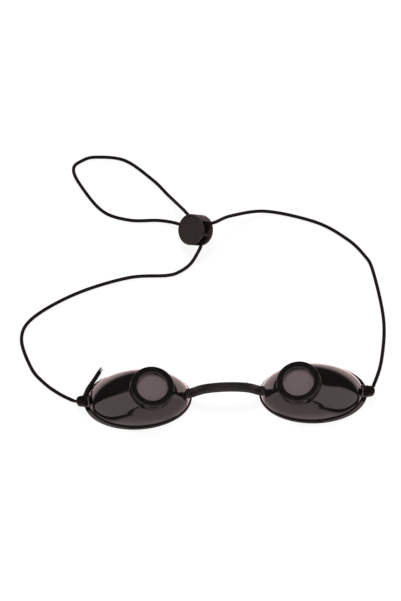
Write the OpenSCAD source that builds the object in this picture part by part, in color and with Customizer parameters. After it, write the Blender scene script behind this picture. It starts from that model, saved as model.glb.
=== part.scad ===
// Light therapy goggles: two domed eye cups with tinted filters in round turrets, a
// bendable nose bridge plugged into both cups, and an elastic cord with a press lock.
// All sizes are in millimetres. The rims stand on z = 0, the goggles' front faces +Z.

/* [Eye cups] */
// Distance between the middles of the two cups
cup_spacing = 89.4; // [80:0.2:100]
// Rim of a cup from its nose end to its temple end
rim_length = 55.2; // [48:0.2:64]
// Rim of a cup from brow to cheek
rim_width = 33.2; // [28:0.2:40]
// How far each cup turns down towards the temple, in degrees
cup_slant = 1.2; // [0:0.5:6]
// Height of the dome over the rim's underside
dome_height = 12.4; // [10:0.2:16]
// Squareness of the dome's section, where 2 is an ellipse
dome_fullness = 2.5; // [2:0.1:3]
// Thickness of the moulded wall
wall = 1.4; // [1:0.1:2.2]
// Thickness of the rim's flange
flange_t = 1.2; // [0.8:0.1:2]
// Width of the flange at the brow and the cheek
flange_side = 0.9; // [0.6:0.1:2]

/* [Filter turrets] */
// Outer diameter of a turret at its top
turret_d = 22.2; // [19:0.2:25]
// Height of the turret's top over the table, at its middle
turret_top = 14.2; // [13:0.1:18]
// Distance of the turret from the cup's middle, towards the nose
turret_in = 8.0; // [4:0.2:12]
// Lean of the turret's axis towards the nose, in degrees
turret_lean = 8; // [0:1:12]
// Diameter of a filter disc
lens_d = 18.4; // [16:0.2:20]
// Thickness of a filter disc
lens_t = 1.6; // [1:0.1:2.5]
// Clear opening in front of the filter
lens_window = 15.6; // [13:0.2:17]
// Depth of the filter's face under the turret's top
lens_recess = 1.9; // [1.4:0.1:2.6]

/* [Nose bridge] */
// Width of the strip
bridge_w = 4.6; // [3:0.1:6]
// Thickness of the strip
bridge_t = 2.4; // [1.6:0.1:3.2]
// Height of the strip's middle layer at the top of its arch
bridge_top = 11.4; // [10:0.1:14]

/* [Cord] */
// Diameter of the elastic cord
cord_d = 1.6; // [1.2:0.1:2]

/* [Cord lock] */
// Diameter of the lock's barrel
lock_d = 16.4; // [12:0.1:18]
// Length of the barrel
lock_l = 9.6; // [8:0.1:11]
// Travel of the lock's button
lock_travel = 1.4; // [1:0.1:1.6]

/* [Output] */
// Which piece to make: all, or one name of the list

/* [Hidden] */
$fn = 96;

fit = 0.05;
braid_colour = [0.10, 0.09, 0.09];
rim_a = rim_length / 2;
rim_b = rim_width / 2;
// The dome stands nearer the nose, so the flange is widest at the temple.
dome_shift = 0.7;
dome_a = rim_a - 1.4;
dome_b = rim_b - flange_side;
turret_y = 0.6;
ring_d = turret_d - 1;
ring_t = 0.9;
tab_z = 2.4;
tab_t = 1.8;
tab_r = 2.6;
tab_eye = 28.7;
tab_eye_d = 2.4;
// The tab leaves the cup a little in front of its middle.
tab_y = -0.65;
bridge_y = 0.3;
plug_w = 3.4;
plug_t = 2.2;
collar_w = 5.2;
collar_t = 3.4;

// Shapes that several pieces share

function superellipse(r, h, n, steps) = [for (i = [0 : steps])
    let (t = 90 * i / steps) [r * pow(cos(t), 2 / n), h * pow(sin(t), 2 / n)]];

// A closed dome with an oval foot, every section through its top a superellipse.
module dome(a, b, h, below = 0) {
    scale([a / b, 1, 1]) rotate_extrude()
        polygon(concat([[0, -below], [b, -below]], superellipse(b, h, dome_fullness, 12)));
}

module oval_disc(a, b, profile) {
    scale([a / b, 1, 1]) rotate_extrude() polygon(profile);
}

function unit(v) = v / norm(v);

// Rings of points round a line, each square to it, with their flat side up.
function tube_rings(line, r, sides, closed) = [for (i = [0 : len(line) - 1])
    let (n = len(line), a = closed ? (i + n - 1) % n : max(i - 1, 0),
        b = closed ? (i + 1) % n : min(i + 1, n - 1),
        t = unit(line[b] - line[a]), s = unit(cross([0, 0, 1], t)), u = cross(t, s))
    for (k = [0 : sides - 1]) let (w = 360 * (k + 0.5) / sides)
        line[i] + r * (cos(w) * s + sin(w) * u)];

module tube(line, d, sides = 8, closed = false) {
    n = len(line);
    last = closed ? n - 1 : n - 2;
    walls = [for (i = [0 : last]) for (k = [0 : sides - 1])
        let (j = (i + 1) % n, m = (k + 1) % sides, p = i * sides, q = j * sides)
        each [[p + k, q + k, q + m], [p + k, q + m, p + m]]];
    ends = closed ? [] : concat([for (k = [1 : sides - 2]) [0, k, k + 1]],
        [for (k = [1 : sides - 2]) let (e = (n - 1) * sides) [e, e + k + 1, e + k]]);
    polyhedron(points = tube_rings(line, d / 2, sides, closed),
        faces = concat(walls, ends));
}

// A smooth line through the points, cut into steps of at most the given length.
function smooth(p, step) = let (n = len(p)) concat([for (i = [0 : n - 2])
    let (a = p[max(i - 1, 0)], b = p[i], c = p[i + 1], d = p[min(i + 2, n - 1)],
        m = max(1, round(norm(c - b) / step)))
    for (k = [0 : m - 1]) let (t = k / m)
        b + (c - a) * t / 2 + (2 * a - 5 * b + 4 * c - d) * t * t / 2
        + (3 * b - a - 3 * c + d) * t * t * t / 2], [p[n - 1]]);

function length(p) = len(p) < 2 ? 0
    : [for (i = 1, s = norm(p[1] - p[0]); i < len(p);
        i = i + 1, s = i < len(p) ? s + norm(p[i] - p[i - 1]) : s) s][len(p) - 2];

// Smallest gap between parts of a tube that are at least skip rings apart.
function least_gap(p, d, skip) = min([for (i = [0 : len(p) - skip - 1])
    for (j = [i + skip : len(p) - 1]) norm(p[i] - p[j])]) - d;

module at_right_cup() {
    translate([cup_spacing / 2, 0, 0]) rotate([0, 0, -cup_slant]) children();
}

module at_turret() {
    translate([-turret_in, turret_y, turret_top]) rotate([0, -turret_lean, 0]) children();
}

module left_of(is_left) {
    if (is_left) mirror([1, 0, 0]) children();
    else children();
}

module outer_dome() {
    translate([-dome_shift, 0, 0]) dome(dome_a, dome_b, dome_height);
}

module inner_dome() {
    translate([-dome_shift, 0, 0])
        dome(dome_a - wall, dome_b - wall, dome_height - wall, 1);
}

// Rim flange with soft edges and a fine groove round the dome's foot.
module flange() {
    difference() {
        oval_disc(rim_a, rim_b, [[0, 0], [rim_b - 0.2, 0], [rim_b, 0.2],
            [rim_b, flange_t - 0.35], [rim_b - 0.3, flange_t], [0, flange_t]]);
        translate([-dome_shift, 0, 0]) oval_disc(dome_a, dome_b,
            [[dome_b, flange_t - 0.4], [dome_b + 0.3, flange_t - 0.4],
            [dome_b + 0.3, flange_t + 1], [dome_b, flange_t + 1]]);
    }
}

// Tongue at the temple with the eye that the cord comes up through.
module cord_tab() {
    translate([0, tab_y, tab_z]) linear_extrude(tab_t)
        polygon([[18, -4.6], [tab_eye - 4, -3.4], [tab_eye, -tab_r], [tab_eye, tab_r],
            [tab_eye - 4, 3.4], [18, 4.6]]);
    translate([tab_eye, tab_y, tab_z]) rotate_extrude() polygon([[0, 0], [tab_r - 0.3, 0],
        [tab_r, 0.3], [tab_r, tab_t - 0.4], [tab_r - 0.4, tab_t], [0, tab_t]]);
}

// Outside of the turret: drafted wall, eased top edge.
module turret_post() {
    at_turret() rotate_extrude() polygon([[0, -7], [turret_d / 2 + 0.9, -7],
        [turret_d / 2, -0.4], [turret_d / 2 - 0.35, 0], [0, 0]]);
}

// Seats for the ring and the filter, stepped down to the opening behind them.
module turret_bore() {
    at_turret() rotate_extrude() polygon([[0, -14], [lens_window / 2, -14],
        [lens_window / 2, -lens_recess - lens_t], [lens_d / 2 + fit, -lens_recess - lens_t],
        [lens_d / 2 + fit, -ring_t], [ring_d / 2 + fit, -ring_t], [ring_d / 2 + fit, 1],
        [0, 1]]);
}

module eye_cup(is_left) {
    color([0.10, 0.085, 0.085]) left_of(is_left) difference() {
        at_right_cup() difference() {
            union() {
                flange();
                outer_dome();
                turret_post();
                cord_tab();
            }
            inner_dome();
            turret_bore();
            translate([tab_eye, tab_y, tab_z - 1]) cylinder(d = tab_eye_d, h = tab_t + 2);
        }
        bridge_seat();
    }
}

module left_eye_cup() eye_cup(true);
module right_eye_cup() eye_cup(false);

module filter_lens(is_left) {
    color([0.43, 0.37, 0.38, 0.85]) left_of(is_left) at_right_cup() at_turret()
        rotate_extrude() polygon([[0, -lens_recess - lens_t],
            [lens_d / 2 - 0.2, -lens_recess - lens_t],
            [lens_d / 2, -lens_recess - lens_t + 0.2], [lens_d / 2, -lens_recess],
            [0, -lens_recess]]);
}

module left_filter_lens() filter_lens(true);
module right_filter_lens() filter_lens(false);

// The ring's flange covers the turret's top and its skirt holds the filter down.
module lens_ring(is_left) {
    color([0.08, 0.07, 0.07]) left_of(is_left) at_right_cup() at_turret()
        rotate_extrude() polygon([[lens_window / 2, -lens_recess],
            [lens_d / 2, -lens_recess], [lens_d / 2, -ring_t], [ring_d / 2, -ring_t],
            [ring_d / 2, -0.15], [ring_d / 2 - 0.25, 0.1], [lens_window / 2 + 0.9, 0.1],
            [lens_window / 2 + 0.6, -0.2], [lens_window / 2, -1.1]]);
}

module left_lens_ring() lens_ring(true);
module right_lens_ring() lens_ring(false);

// The nose bridge's middle layer is four tangent runs, from the crown to the plug.
crown_r = 40;
crown_a = 12;
shoulder_r = 16;
shoulder_a = 38;
leg = 2;
foot_r = 5;
foot_a = 14;

function crown(a) = crown_r * [sin(a), cos(a) - 1];
function shoulder(a) = crown(crown_a)
    + shoulder_r * [sin(a) - sin(crown_a), cos(a) - cos(crown_a)];
leg_end = shoulder(shoulder_a) + leg * [cos(shoulder_a), -sin(shoulder_a)];
function foot(a) = leg_end + foot_r * [sin(shoulder_a) - sin(a), cos(shoulder_a) - cos(a)];

// Points of the middle layer from the crown outwards, each with its downward slope.
half_strip = concat([for (a = [0 : 3 : crown_a]) [each crown(a), a]],
    [for (i = [1 : 7]) let (a = crown_a + (shoulder_a - crown_a) * i / 7)
        [each shoulder(a), a]],
    [for (i = [0 : 8]) let (a = shoulder_a - (shoulder_a - foot_a) * i / 8)
        [each foot(a), a]]);
strip_end = half_strip[len(half_strip) - 1];

// The layer pushed up or down by h.
function strip_side(h) = [for (p = half_strip) [p[0] + h * sin(p[2]), p[1] + h * cos(p[2])]];
function backwards(v) = [for (i = [len(v) - 1 : -1 : 0]) v[i]];
function flipped(v) = [for (p = v) [-p[0], p[1]]];

module strip() {
    top = strip_side(bridge_t / 2);
    low = strip_side(-bridge_t / 2);
    rotate([90, 0, 0]) linear_extrude(bridge_w, center = true)
        polygon(concat(backwards(flipped(top)), [for (i = [1 : len(top) - 1]) top[i]],
            backwards(low), [for (i = [1 : len(low) - 1]) flipped(low)[i]]));
}

module at_bridge() {
    translate([0, bridge_y, bridge_top]) children();
}

module at_strip_end() {
    translate([strip_end[0], 0, strip_end[1]]) rotate([0, foot_a, 0]) children();
}

module oval_pin(w, t, l) {
    rotate([0, 90, 0]) scale([t / w, 1, 1]) cylinder(d = w, h = l);
}

// Collar that stops on the dome, neck through the wall and a head that snaps behind it.
module plug() {
    translate([-0.8, 0, 0]) oval_pin(collar_w, collar_t, 2.3);
    oval_pin(plug_w, plug_t, 4.6);
    translate([4.2, 0, 0]) rotate([0, 90, 0]) scale([0.68, 1, 1])
        cylinder(d1 = 4.4, d2 = 2.6, h = 1.4);
}

module bridge_seat() {
    at_bridge() at_strip_end() {
        translate([-2, 0, 0]) oval_pin(collar_w + 2 * fit, collar_t + 2 * fit, 3.5 + fit);
        oval_pin(plug_w + 2 * fit, plug_t + 2 * fit, 6);
    }
}

module nose_bridge() {
    color([0.11, 0.098, 0.10]) at_bridge() {
        strip();
        for (left = [false, true]) left_of(left) at_strip_end() plug();
        // Trace of the mould's gate
        translate([11, bridge_w / 2 - 0.4, -1.6]) rotate([-90, 0, 0])
            cylinder(d = 0.7, h = 0.9);
    }
}

cord_route = [[-77.5, 0.3, 1.1], [-84.6, 4.4, 1], [-92.3, 10.7, 0.9], [-99.3, 19.8, 0.9],
    [-104.5, 37, 0.9], [-98, 49.2, 0.9], [-75.7, 62.2, 0.9], [-48.6, 70.4, 0.9],
    [-28.3, 71, 0.9], [-21.5, 73, 0.9], [-16, 76.9, 1.2], [-12.3, 81.5, 3.2],
    [-9.6, 86.3, 6.6], [-12.6, 91.4, 6.1], [-17.1, 97, 4.9], [-22, 101.2, 2.8],
    [-32, 104.6, 0.9], [-48, 105.5, 0.9], [-62.4, 112, 0.9], [-74.6, 129.8, 0.9],
    [-77.5, 139.2, 0.9], [-73.1, 143.7, 0.9], [-65.5, 145.8, 0.9], [-49.6, 143, 0.9],
    [-34.8, 130.2, 0.9], [-26.4, 119.2, 2.4], [-18.3, 107, 7], [-14.3, 100.7, 8.9],
    [-9.9, 96.9, 11], [-5.4, 94.3, 13.8], [-1.7, 95.4, 13], [7.2, 102, 7.8],
    [26.2, 107.4, 1.7], [52.1, 100.1, 0.9], [67.7, 89.4, 0.9], [76.2, 79.3, 0.9],
    [80.3, 69.3, 0.9], [83.7, 40.2, 0.9], [80.7, 16.7, 1.1], [75.6, 2.7, 1.1]];

module elastic_cord() {
    color(braid_colour) tube(smooth(cord_route, 7), cord_d);
}

// Free end beyond the left knot, coming down to lie along the flange.
tail_route = [[-71.5, 0.1, 5.8], [-70.6, 2.9, 5.1], [-69.8, 5.5, 3.9], [-67.6, 9.6, 2.6],
    [-65.6, 13, 2.2], [-63.7, 16.3, 2.1]];

module cord_tail() {
    color(braid_colour) tube(smooth(tail_route, 4), cord_d);
}

// An overhand knot: the cord's centre line is a trefoil wound round a ring, a little
// narrower across the tab than along it.
function trefoil(n) = [for (i = [0 : n - 1])
    let (t = 360 * i / n, q = knot_ring + knot_swing * cos(3 * t))
    [q * cos(2 * t), knot_squeeze * q * sin(2 * t), knot_h * sin(3 * t)]];

// The cord is drawn tight in its knots, and thinner there.
knot_d = cord_d - 0.4;
stem_d = cord_d - 0.1;
knot_ring = 1.6;
knot_swing = 0.76;
knot_squeeze = 0.9;
knot_h = 0.8;
knot_z = tab_z + tab_t + knot_h + knot_d / 2 + 0.05;

module at_eye(is_left) {
    left_of(is_left) at_right_cup() translate([tab_eye, tab_y, 0]) children();
}

// The knot stops the cord on top of the tab.
module cord_knot(is_left) {
    color(braid_colour) at_eye(is_left) translate([-0.8, -0.4, knot_z])
        tube(trefoil(40), knot_d, 8, true);
}

module left_cord_knot() cord_knot(true);
module right_cord_knot() cord_knot(false);

// Middle line of the cord from the knot down through the eye and, in an arc, out under
// the tab, as distances from the eye's axis and heights.
bend_r = 1.6;
bend_z = 2.9;
cord_end_line = concat([[-0.5, knot_z + 0.8], [-0.25, knot_z - 1.2]],
    [for (a = [5 : 17 : 90]) [bend_r - bend_r * cos(a), bend_z - bend_r * sin(a)]],
    [[4.2, bend_z - bend_r - 0.1]]);

module cord_end(is_left, way) {
    color(braid_colour) at_eye(is_left) rotate([0, 0, way])
        tube([for (p = cord_end_line) [p[0], 0, p[1]]], stem_d);
}

module left_cord_end() cord_end(true, 22.5);
module right_cord_end() cord_end(false, 62.5);

// The cord lock stands on the edges of its barrel and its button.
lock_r = lock_d / 2;
button_r = 6.1;
bore_r = 6.25;
window_low = -2.45;
window_high = 3.4;
window_in = 0.5;
window_out = 6.6;
deck_z = -0.25;
window_reach = 9;
head_z = -3.4;
spring_seat = 0.2;
spring_d = 0.4;
// Wall between the button's two decks, in the plane between the two strands
web_w = 11.4;
web_t = 0.8;
// The button's head stands out by its travel and a little more.
head_out = lock_travel + 0.45;

lock_at = [-12.3, 93.34, 9.05];

module at_lock() {
    translate(lock_at) rotate([0, 45, -153]) rotate([0, 0, 118]) children();
}

module lock_barrel() {
    h = lock_l / 2;
    color([0.23, 0.21, 0.2]) at_lock() difference() {
        rotate_extrude() polygon([[0, window_high], [bore_r, window_high], [bore_r, -h],
            [lock_r - 0.35, -h], [lock_r, 0.35 - h], [lock_r, h - 0.35], [lock_r - 0.35, h],
            [lock_r - 0.85, h], [lock_r - 1, h - 0.3], [0, h - 0.3]]);
        for (s = [-1, 1]) translate([-window_reach,
            s > 0 ? window_in : -window_out, window_low])
            cube([2 * window_reach, window_out - window_in, window_high - window_low]);
    }
}

// The button's head is outside the barrel, its two decks clamp the cords between them.
module lock_button() {
    low = -lock_l / 2 - head_out;
    color([0.2, 0.18, 0.175]) at_lock() {
        rotate_extrude() polygon([[0, low], [button_r - 0.4, low], [button_r, low + 0.4],
            [button_r, -lock_l / 2 - 0.1], [bore_r - fit, -lock_l / 2],
            [bore_r - fit, head_z], [0, head_z]]);
        rotate_extrude() polygon([[0, deck_z], [bore_r - fit, deck_z],
            [bore_r - fit, deck_z + 1.15], [3.1, deck_z + 1.15], [3.1, spring_seat],
            [0, spring_seat]]);
        translate([-web_w / 2, -web_t / 2, head_z - 0.1])
            cube([web_w, web_t, deck_z - head_z + 0.2]);
    }
}

spring_turns = 3;
spring_low = spring_seat + spring_d / 2 + 0.02;
spring_high = window_high - spring_d / 2 - 0.02;
spring_line = [for (i = [0 : 12 * spring_turns]) let (t = i / (12 * spring_turns))
    [2.5 * cos(360 * spring_turns * t), 2.5 * sin(360 * spring_turns * t),
    spring_low + (spring_high - spring_low) * t]];

module lock_spring() {
    color([0.72, 0.72, 0.74]) at_lock() tube(spring_line, spring_d, 6);
}

echo(cord_length = length(smooth(cord_route, 2)), rings = len(smooth(cord_route, 7)),
    tail = length(smooth(tail_route, 2)));
echo(spring_gap = least_gap(spring_line, spring_d, 6));

left_eye_cup();
right_eye_cup();
left_filter_lens();
right_filter_lens();
left_lens_ring();
right_lens_ring();
nose_bridge();
elastic_cord();
left_cord_knot();
right_cord_knot();
left_cord_end();
right_cord_end();
cord_tail();
lock_barrel();
lock_button();
lock_spring();
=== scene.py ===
"""Light therapy goggles: the looks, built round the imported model.

Every new piece is a surface worked out with numpy in millimetres, in the model's own
frame, and goes into its mesh in metres. The rims stand on the table at height 0 and the
goggles' front faces up.
"""

import logging
from collections.abc import Callable
from dataclasses import dataclass, field
from enum import Enum

import bmesh
import bpy
import numpy as np
from mathutils import Matrix, Vector


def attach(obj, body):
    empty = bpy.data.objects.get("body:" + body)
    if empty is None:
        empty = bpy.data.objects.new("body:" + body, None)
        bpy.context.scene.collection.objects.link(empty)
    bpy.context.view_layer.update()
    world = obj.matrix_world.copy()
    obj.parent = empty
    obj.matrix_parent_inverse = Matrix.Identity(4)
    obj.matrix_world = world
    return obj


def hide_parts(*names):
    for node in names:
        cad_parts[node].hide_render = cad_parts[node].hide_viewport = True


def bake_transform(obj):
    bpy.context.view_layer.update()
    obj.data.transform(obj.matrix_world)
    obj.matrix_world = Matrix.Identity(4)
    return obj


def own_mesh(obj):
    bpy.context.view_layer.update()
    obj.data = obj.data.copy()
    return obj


MM = 0.001
TURN = 2 * np.pi
BLACK = (0.004, 0.0034, 0.0034)
MOULDED_DUST = (0.45, 0.42, 0.41, 1)
FILTER_DUST = (0.5, 0.47, 0.47, 1)
SOFT_CREASE = 60.0
WHITE = (1, 1, 1, 1)
Socket = bpy.types.NodeSocket
Number = float | np.ndarray
Carry = Callable[[np.ndarray], np.ndarray]

log = logging.getLogger("goggles")
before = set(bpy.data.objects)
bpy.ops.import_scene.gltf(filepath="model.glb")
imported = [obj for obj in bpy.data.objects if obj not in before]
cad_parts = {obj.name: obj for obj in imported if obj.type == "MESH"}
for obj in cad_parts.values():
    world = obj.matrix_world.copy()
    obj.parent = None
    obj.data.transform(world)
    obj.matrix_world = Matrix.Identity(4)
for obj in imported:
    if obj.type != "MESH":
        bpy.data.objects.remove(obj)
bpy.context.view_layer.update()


class Side(Enum):
    """Which half of the goggles a piece belongs to."""

    LEFT = -1
    RIGHT = 1

    @property
    def word(self) -> str:
        """The side's word in the pieces' names."""
        return self.name.lower()

    @property
    def body(self) -> str:
        """The body that this side's pieces ride on."""
        return self.word + "_cup"


# Meshes


def link(name: str, data: bpy.types.ID) -> bpy.types.Object:
    """Makes an object round its data and puts it in the scene."""
    made = bpy.data.objects.new(name, data)
    bpy.context.scene.collection.objects.link(made)
    return made


@dataclass
class Shell:
    """The surfaces of one piece, gathered grid by grid, in millimetres."""

    name: str
    points: list = field(default_factory=list)
    quads: list = field(default_factory=list)
    triangles: list = field(default_factory=list)
    uvs: list = field(default_factory=list)
    count: int = 0

    def add(self, points: np.ndarray) -> np.ndarray:
        """Adds points and numbers them.

        Args:
            points: an array whose last axis is x, y, z.

        Returns:
            The points' numbers, in the array's shape without its last axis.
        """
        flat = np.asarray(points, float).reshape(-1, 3)
        numbers = np.arange(self.count, self.count + len(flat)).reshape(np.shape(points)[:-1])
        self.points.append(flat)
        self.count += len(flat)
        return numbers

    def grid(self, points: np.ndarray, closed: bool = False, length: float = 1.0) -> np.ndarray:
        """Adds a grid that is closed round its columns as quads.

        Args:
            points: an array of rows, columns and x, y, z.
            closed: whether the last row joins the first.
            length: how far the second texture coordinate runs over the rows.

        Returns:
            The points' numbers by row and column.
        """
        numbers = self.add(points)
        rows, columns = numbers.shape
        if closed:
            numbers = np.vstack([numbers, numbers[:1]])
        right = np.roll(numbers, -1, axis=1)
        self.quads.append(np.stack([numbers[:-1], right[:-1], right[1:], numbers[1:]],
                                   axis=-1).reshape(-1, 4))
        v, u = np.meshgrid(np.linspace(0, length, len(numbers)), np.arange(columns) / columns,
                           indexing="ij")
        step = 1 / columns
        corners = np.stack([np.stack([u[:-1], v[:-1]], -1), np.stack([u[:-1] + step, v[:-1]], -1),
                            np.stack([u[1:] + step, v[1:]], -1), np.stack([u[1:], v[1:]], -1)], 2)
        self.uvs.append(corners.reshape(-1, 4, 2))
        return numbers

    def cap(self, ring: np.ndarray, pole: np.ndarray) -> None:
        """Closes a ring of numbered points with triangles to a pole.

        Args:
            ring: the numbers of the ring's points.
            pole: the pole's place.
        """
        tip = self.add(np.asarray(pole, float)[None])[0]
        self.triangles.append(np.stack([ring, np.roll(ring, -1), np.full_like(ring, tip)], -1))

    def lathe(self, profile: np.ndarray | list, place: Carry, segments: int) -> None:
        """Adds a surface of revolution: profile point (r, z) goes to (r cos t, r sin t, z).

        Args:
            profile: radii and heights, from pole to pole or as a closed ring.
            place: the function that puts the turned points in the frame.
            segments: points round the axis.
        """
        t = np.arange(segments) / segments * TURN
        r, z = np.asarray(profile, float).T
        poles = (r[0] < 1e-9, r[-1] < 1e-9)
        keep = slice(1 if poles[0] else 0, -1 if poles[1] else None)
        turned = np.stack([np.outer(r[keep], np.cos(t)), np.outer(r[keep], np.sin(t)),
                           np.outer(z[keep], np.ones(segments))], -1)
        numbers = self.grid(place(turned), closed=not any(poles))
        if poles[0]:
            self.cap(numbers[0], place(np.array([0, 0, z[0]])))
        if poles[1]:
            self.cap(numbers[-1], place(np.array([0, 0, z[-1]])))

    def sweep(self, line: np.ndarray, up: tuple, radius: Number, columns: int,
              first: float = 0.5, closed: bool = False, length: float = 1.0) -> None:
        """Adds a tube along a line, capped at both ends unless it is closed.

        Args:
            line: the tube's middle line.
            up: a direction that the line never follows.
            radius: its radius, one or an array of rows, columns and 1.
            columns: points round it.
            first: how many columns the first point is turned by.
            closed: whether the line joins its own start.
            length: how far the second texture coordinate runs along it.
        """
        side, lift = frames(line, up, closed)
        t = (np.arange(columns) + first) / columns * TURN
        ring = (np.cos(t)[None, :, None] * side[:, None]
                + np.sin(t)[None, :, None] * lift[:, None])
        numbers = self.grid(line[:, None] + radius * ring, closed, length)
        if not closed:
            self.cap(numbers[0], line[0])
            self.cap(numbers[-1], line[-1])

    def build(self, crease: float, mirrored: bool = False) -> bpy.types.Object:
        """Makes the object, smooth but for edges sharper than crease, faces outwards.

        Args:
            crease: the angle in degrees past which an edge stays sharp.
            mirrored: whether x changes sign, for the left one of a pair.

        Returns:
            The piece, at the origin, with its place in its mesh.
        """
        points = np.vstack(self.points) * MM
        if mirrored:
            points[:, 0] *= -1
        faces = [q.tolist() for q in self.quads] + [t.tolist() for t in self.triangles]
        mesh = bpy.data.meshes.new(self.name)
        mesh.from_pydata(points.tolist(), [], sum(faces, []))
        coordinates = [u.reshape(-1, 2) for u in self.uvs]
        coordinates += [np.tile([0.5, 0.0], (3 * len(t), 1)) for t in self.triangles]
        layer = mesh.uv_layers.new(name="along")
        layer.data.foreach_set("uv", np.vstack(coordinates).ravel())
        work = bmesh.new()
        work.from_mesh(mesh)
        bmesh.ops.recalc_face_normals(work, faces=work.faces)
        work.to_mesh(mesh)
        work.free()
        mesh.polygons.foreach_set("use_smooth", np.ones(len(mesh.polygons), bool))
        mesh.set_sharp_from_angle(angle=np.radians(crease))
        return link(self.name, mesh)


def arc(centre: tuple, radius: float, start: float, end: float, steps: int = 5) -> np.ndarray:
    """Points of a circle's arc, centre + radius (cos t, sin t).

    Args:
        centre: the arc's centre.
        radius: its radius.
        start: its first angle, in degrees.
        end: its last angle, in degrees.
        steps: how many stretches it has.

    Returns:
        One row for each point.
    """
    t = np.radians(np.linspace(start, end, steps + 1))
    return np.asarray(centre) + radius * np.stack([np.cos(t), np.sin(t)], -1)


def smooth(points: np.ndarray, step: float) -> np.ndarray:
    """A Catmull-Rom line through the points: each stretch is the cubic whose slope at a
    point is half the way from the point before it to the point after.

    Args:
        points: the route's points.
        step: the longest distance between the line's points.

    Returns:
        The line's points.
    """
    p = np.asarray(points, float)
    before = np.vstack([p[:1], p[:-1]])
    after = np.vstack([p[1:], p[-1:]])
    line = []
    for a, b, c, d in zip(before[:-1], p[:-1], p[1:], after[1:]):
        t = np.arange(max(1, round(np.linalg.norm(c - b) / step)))[:, None]
        t = t / len(t)
        line.append(b + (c - a) * t / 2 + (2 * a - 5 * b + 4 * c - d) * t ** 2 / 2
                    + (3 * b - a - 3 * c + d) * t ** 3 / 2)
    return np.vstack(line + [p[-1:]])


def even(line: np.ndarray, step: float, closed: bool = False) -> np.ndarray:
    """The line cut again into equal steps of about the given length."""
    path = np.vstack([line, line[:1]]) if closed else line
    run = np.concatenate([[0], np.cumsum(np.linalg.norm(np.diff(path, axis=0), axis=1))])
    at = np.linspace(0, run[-1], max(2, int(run[-1] / step)) + 1)
    if closed:
        at = at[:-1]
    return np.stack([np.interp(at, run, path[:, k]) for k in range(3)], -1)


def run_of(line: np.ndarray) -> float:
    """The line's length."""
    return float(np.linalg.norm(np.diff(line, axis=0), axis=1).sum())


def frames(line: np.ndarray, up: tuple, closed: bool = False) -> tuple[np.ndarray, np.ndarray]:
    """Two directions square to the line at each point: s = up x t, and u = t x s.

    Args:
        line: the line's points.
        up: a direction that the line never follows.
        closed: whether the line joins its own start.

    Returns:
        The sideways and the upward directions.
    """
    if closed:
        along = np.roll(line, -1, axis=0) - np.roll(line, 1, axis=0)
    else:
        along = np.gradient(line, axis=0)
    t = along / np.linalg.norm(along, axis=1, keepdims=True)
    s = np.cross(np.asarray(up, float), t)
    s /= np.linalg.norm(s, axis=1, keepdims=True)
    return s, np.cross(t, s)


# Finishes


def tone(colour: tuple, factor: float, lift: float = 0.0) -> tuple:
    """The colour times factor plus lift, at most 1, with a fourth value of 1."""
    return (*[min(1, c * factor + lift) for c in colour], 1)


class Tree:
    """A node tree with short calls for the nodes that the finishes and the room share."""

    def __init__(self, tree: bpy.types.NodeTree) -> None:
        """Takes the tree's nodes and links."""
        self.nodes, self.links = tree.nodes, tree.links

    def node(self, kind: str, settings: dict, inputs: dict) -> bpy.types.Node:
        """Adds a node.

        Args:
            kind: the node's type.
            settings: its properties.
            inputs: for each socket, a value or the socket that feeds it.

        Returns:
            The node.
        """
        made = self.nodes.new(kind)
        for name, value in settings.items():
            setattr(made, name, value)
        return self.put(made, inputs)

    def put(self, node: bpy.types.Node, values: dict) -> bpy.types.Node:
        """Feeds a node's sockets with sockets or constants."""
        for name, value in values.items():
            if isinstance(value, Socket):
                self.links.new(value, node.inputs[name])
            else:
                node.inputs[name].default_value = value
        return node

    def math(self, operation: str, a: Socket | float, b: Socket | float = 0.0) -> Socket:
        """One step of arithmetic on sockets or numbers."""
        return self.node("ShaderNodeMath", {"operation": operation}, {0: a, 1: b}).outputs[0]

    def mix(self, factor: Socket, a: Socket | tuple, b: Socket | tuple) -> Socket:
        """A colour between a and b."""
        return self.node("ShaderNodeMix", {"data_type": "RGBA"},
                         {0: factor, 6: a, 7: b}).outputs[2]


class Sheet(Tree):
    """A material's node tree, with its main shader and its coordinates."""

    def __init__(self, name: str) -> None:
        """Makes the material."""
        self.material = bpy.data.materials.new(name)
        self.material.use_nodes = True
        super().__init__(self.material.node_tree)
        self.shader = self.nodes["Principled BSDF"]
        self.coordinates = self.nodes.new("ShaderNodeTexCoord")

    def set(self, **values) -> None:
        """Sets constants on the shader's own sockets, with _ for a space."""
        self.put(self.shader, {name.replace("_", " "): v for name, v in values.items()})

    def place(self, scale: tuple, source: str = "Object") -> Socket:
        """Coordinates from the piece, stretched by scale."""
        return self.node("ShaderNodeMapping", {}, {
            "Vector": self.coordinates.outputs[source], "Scale": scale}).outputs["Vector"]

    def noise(self, scale: float, detail: float, where: Socket | None = None,
              roughness: float = 0.5) -> Socket:
        """A noise's value, scale counted per metre on object coordinates."""
        where = where or self.coordinates.outputs["Object"]
        return self.node("ShaderNodeTexNoise", {}, {
            "Vector": where, "Scale": scale, "Detail": detail,
            "Roughness": roughness}).outputs["Fac"]

    def ramp(self, value: Socket, low: float, high: float, to_low: float,
             to_high: float) -> Socket:
        """The value carried from low..high to to_low..to_high, held at its ends."""
        return self.node("ShaderNodeMapRange", {}, {
            "Value": value, "From Min": low, "From Max": high, "To Min": to_low,
            "To Max": to_high}).outputs["Result"]

    def bump(self, height: Socket, strength: float, depth: float,
             normal: Socket = None) -> Socket:
        """A bumped normal, depth in metres."""
        inputs = {"Height": height, "Strength": strength, "Distance": depth}
        if normal:
            inputs["Normal"] = normal
        return self.node("ShaderNodeBump", {}, inputs).outputs["Normal"]

    def feed(self, socket: str, value: Socket) -> None:
        """Links a value to one of the shader's sockets."""
        self.links.new(value, self.shader.inputs[socket])


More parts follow.
